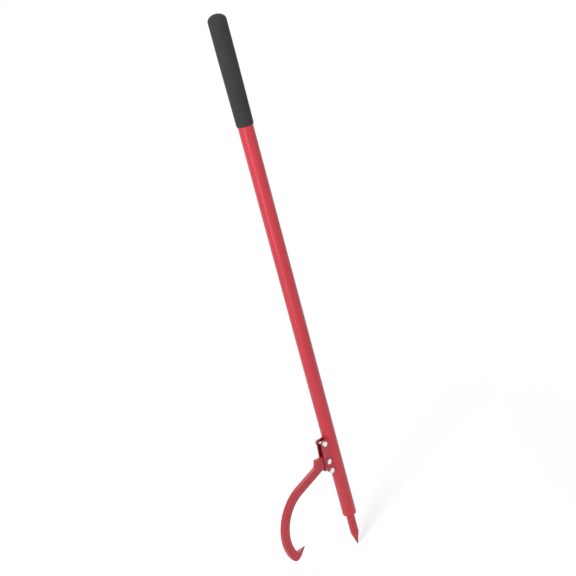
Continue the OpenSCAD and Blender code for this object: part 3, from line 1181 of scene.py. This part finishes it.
def fit_on_bolt(bm, node, plating, turn=0.0, crease=CREASE):
    """Finishes a shape built along Z on a bolt's axis, growing along Y from the node's near face."""
    low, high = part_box(node)
    middle = (low + high) / 2
    lay = Matrix.Rotation(-pi / 2, 4, "X") @ Matrix.Rotation(turn, 4, "Z")
    place = Matrix.Translation((middle.x, low.y, middle.z)) @ lay
    bmesh.ops.transform(bm, matrix=place, verts=bm.verts[:])
    finish_piece(bm, node + "_zinc", node, plating, crease=crease)


class HOOK_OT_bolts(Operator):
    """Build the three hex bolts with their threaded ends"""

    bl_idname = "cant_hook.bolts"
    bl_label = "Bolts"

    def execute(self, context):
        s = context.scene.hook_fasteners
        core = s.bolt_radius - s.thread_depth
        for place, turn in zip(BOLT_PLACES, HEAD_TURNS):
            node = place + "_bolt"
            low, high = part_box(node)
            head_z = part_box(place + "_head_washer")[0].y - low.y
            plain_z = EAR_LOW.y - low.y
            end_z = high.y - low.y
            bm = bmesh.new()
            head = [(head_z - z, r) for z, r in reversed(chamfer_rings(s, head_z))]
            turned(bm, head + [(head_z, s.flats)], flats=s.flats)
            rings = [(head_z, s.bolt_radius), (plain_z, s.bolt_radius), (plain_z, core),
                     (end_z - 2 * s.thread_depth, core), (end_z, core - s.thread_depth)]
            shank = bmesh.new()
            turned(shank, rings, segments=48)
            self.cut_thread(shank, s, plain_z, end_z, core)
            join(bm, shank)
            fit_on_bolt(bm, node, bright_zinc(), turn, HEX_CREASE)
        return {"FINISHED"}

    def cut_thread(self, bm, s, low, high, core):
        """Winds the thread's ridge round the core."""
        turns = (high - low) / s.thread_pitch - THREAD_SHORT
        half = s.thread_pitch * THREAD_HALF
        foot = core - s.thread_depth / 2
        crest = [(s.bolt_radius, 0, low + half * share) for share in THREAD_CREST]
        ridge = bmesh.new()
        corners = [(foot, 0, low), *crest, (foot, 0, low + 2 * half)]
        ridge.faces.new([ridge.verts.new(corner) for corner in corners])
        steps = round(turns * THREAD_STEPS)
        bmesh.ops.spin(ridge, geom=ridge.faces[:], axis=(0, 0, 1), angle=turns * 2 * pi, steps=steps,
                       dvec=(0, 0, turns * s.thread_pitch / steps))
        face_outwards(ridge)
        join(bm, ridge)


class HOOK_OT_nuts(Operator):
    """Build the three nuts"""

    bl_idname = "cant_hook.nuts"
    bl_label = "Nuts"

    def execute(self, context):
        s = context.scene.hook_fasteners
        lead = s.thread_depth
        for place, turn in zip(BOLT_PLACES, reversed(HEAD_TURNS)):
            node = place + "_nut"
            low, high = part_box(node)
            height = high.y - low.y
            outside = chamfer_rings(s, height)
            under = [(height - z, r) for z, r in reversed(outside)]
            inside = [(height, s.bolt_radius + lead), (height - lead, s.bolt_radius),
                      (lead, s.bolt_radius), (0.0, s.bolt_radius + lead)]
            bm = bmesh.new()
            turned(bm, under + outside + inside + under[:1], flats=s.flats, closed=True)
            fit_on_bolt(bm, node, bright_zinc(), turn, HEX_CREASE)
        return {"FINISHED"}


class HOOK_OT_washers(Operator):
    """Build the six flat washers"""

    bl_idname = "cant_hook.washers"
    bl_label = "Washers"

    def execute(self, context):
        s = context.scene.hook_fasteners
        inside = s.bolt_radius + s.washer_round
        edge = s.washer_round
        mid = edge * WASHER_MID
        for place in BOLT_PLACES:
            for node in (place + "_head_washer", place + "_nut_washer"):
                low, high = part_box(node)
                thick = high.y - low.y
                outside = (high.x - low.x) / 2
                near = [(0, inside), (0, outside - edge), (mid, outside - mid), (edge, outside)]
                far = [(thick - z, r) for z, r in reversed(near)]
                bm = bmesh.new()
                turned(bm, near + far + near[:1], closed=True)
                # The washers' dark zinc is partly painted shade round the heads
                fit_on_bolt(bm, node, dull_zinc_and_shade())
        return {"FINISHED"}


# Stage

def round_handle(azimuth, reach, height):
    """A place round the handle, at a turn from -Y towards the hook's side."""
    return Vector((-sin(azimuth) * reach, -cos(azimuth) * reach, height))


def facing(away):
    """The turn of a camera or lamp that looks back along a direction."""
    return away.to_track_quat("Z", "Y").to_matrix().to_4x4()


class HOOK_OT_stage(Operator):
    """Set the camera, the light, the white surroundings and the floor"""

    bl_idname = "cant_hook.stage"
    bl_label = "Stage"

    def execute(self, context):
        scene = context.scene
        scene.view_settings.view_transform = "Standard"
        self.aim_camera(scene, scene.hook_stage)
        for name in LAMPS:
            self.hang_lamp(scene, name, getattr(scene, f"hook_{name}_lamp"))
        self.whiten_world(scene, scene.hook_stage)
        self.lay_floor(scene.hook_stage)
        return {"FINISHED"}

    def aim_camera(self, scene, s):
        """The camera at the picture's angle, with the tool leaning in its frame."""
        away = round_handle(s.camera_azimuth, cos(s.camera_tilt), sin(s.camera_tilt))
        turn = facing(away) @ Matrix.Rotation(-s.camera_roll, 4, "Z")
        stand = Vector((0, 0, s.aim_height)) + away * s.camera_distance
        data = bpy.data.cameras.new("Camera")
        data.lens = s.lens
        camera = bpy.data.objects.new("Camera", data)
        slide = Matrix.Translation((-s.camera_slide, 0, 0))
        camera.matrix_world = Matrix.Translation(stand) @ turn @ slide
        scene.collection.objects.link(camera)
        scene.camera = camera

    def hang_lamp(self, scene, name, s):
        """A soft lamp that points at the handle's axis and doesn't show in the picture."""
        place = round_handle(s.azimuth, s.reach, s.height)
        data = bpy.data.lights.new(name, "AREA")
        data.shape = "RECTANGLE"
        data.size = s.width
        data.size_y = s.length
        data.energy = s.power
        lamp = bpy.data.objects.new(name, data)
        lamp.matrix_world = Matrix.Translation(place) @ facing(place - Vector((0, 0, s.aim)))
        lamp.visible_camera = False
        scene.collection.objects.link(lamp)

    def seen(self, nodes):
        """1 where the camera, a mirror or a glass sees the surface, and 0 where it only lights."""
        path = nodes.add("ShaderNodeLightPath").outputs
        rays = ("Is Camera Ray", "Is Glossy Ray", "Is Transmission Ray")
        return nodes.extreme("MAXIMUM", *[path[ray] for ray in rays])

    def whiten_world(self, scene, s):
        """White all round where it is seen, and a plain level of light where it isn't."""
        world = bpy.data.worlds.new("White room")
        world.use_nodes = True
        nodes = Nodes(world.node_tree)
        level = nodes.mix(self.seen(nodes), s.world_level, 1.0)
        white = nodes.add("ShaderNodeBackground", {"Color": (1, 1, 1, 1), "Strength": level})
        nodes.add("ShaderNodeOutputWorld", {"Surface": white.outputs[0]})
        scene.world = world

    def lay_floor(self, s):
        """A pale floor that keeps the tool's shadow and fades into the white round it."""
        material, nodes = new_material("Pale floor")
        away = nodes.vector("LENGTH", nodes.place())
        start, end = [s.floor_radius * share for share in FLOOR_FADE]
        fade = nodes.spread(away, low=0.0, high=1.0, first=start, last=end)
        lift = nodes.maths("MULTIPLY", self.seen(nodes), s.floor_lift)
        pale = nodes.add("ShaderNodeBsdfDiffuse", {"Color": rgba(s.floor_tone)})
        glow = nodes.add("ShaderNodeEmission", {"Strength": lift})
        lit = nodes.add("ShaderNodeAddShader", {0: pale.outputs[0], 1: glow.outputs[0]})
        clear = nodes.add("ShaderNodeBsdfTransparent")
        mixed = nodes.add("ShaderNodeMixShader", {0: fade, 1: lit.outputs[0], 2: clear.outputs[0]})
        nodes.add("ShaderNodeOutputMaterial", {"Surface": mixed.outputs[0]})
        bm = bmesh.new()
        bmesh.ops.create_circle(bm, cap_ends=True, segments=96, radius=s.floor_radius)
        bmesh.ops.translate(bm, vec=(0, 0, CAD_BOX[0].z), verts=bm.verts[:])
        make_object(bm, "floor", material)


class HOOK_PT_panel(Panel):
    """Lists the pieces of the cant hook"""

    bl_label = "Cant hook"
    bl_idname = "HOOK_PT_panel"
    bl_space_type = "VIEW_3D"
    bl_region_type = "UI"
    bl_category = "Cant hook"

    def draw(self, context):
        for operator in OPERATORS:
            self.layout.operator(operator.bl_idname)
        for name, group in PROPERTY_GROUPS.items():
            box = self.layout.box()
            for prop in group.__annotations__:
                box.prop(getattr(context.scene, name), prop)


OPERATORS = (HOOK_OT_stage, HOOK_OT_tube, HOOK_OT_grip, HOOK_OT_spike, HOOK_OT_plug, HOOK_OT_ears,
             HOOK_OT_welds, HOOK_OT_hook, HOOK_OT_bolts, HOOK_OT_nuts, HOOK_OT_washers)


def register():
    """Registers the classes and puts the settings on the scene."""
    for cls in (*PROPERTY_GROUPS.values(), *OPERATORS, HOOK_PT_panel):
        bpy.utils.register_class(cls)
    for name, group in PROPERTY_GROUPS.items():
        setattr(bpy.types.Scene, name, PointerProperty(type=group))


def unregister():
    """Takes the settings off the scene and unregisters the classes."""
    for name in PROPERTY_GROUPS:
        delattr(bpy.types.Scene, name)
    for cls in (HOOK_PT_panel, *reversed(OPERATORS), *reversed(PROPERTY_GROUPS.values())):
        bpy.utils.unregister_class(cls)


def main():
    """Builds the stage and every piece, and writes the two boxes."""
    register()
    for operator in OPERATORS:
        space, name = operator.bl_idname.split(".")
        getattr(getattr(bpy.ops, space), name)()


if __name__ == "__main__":
    main()
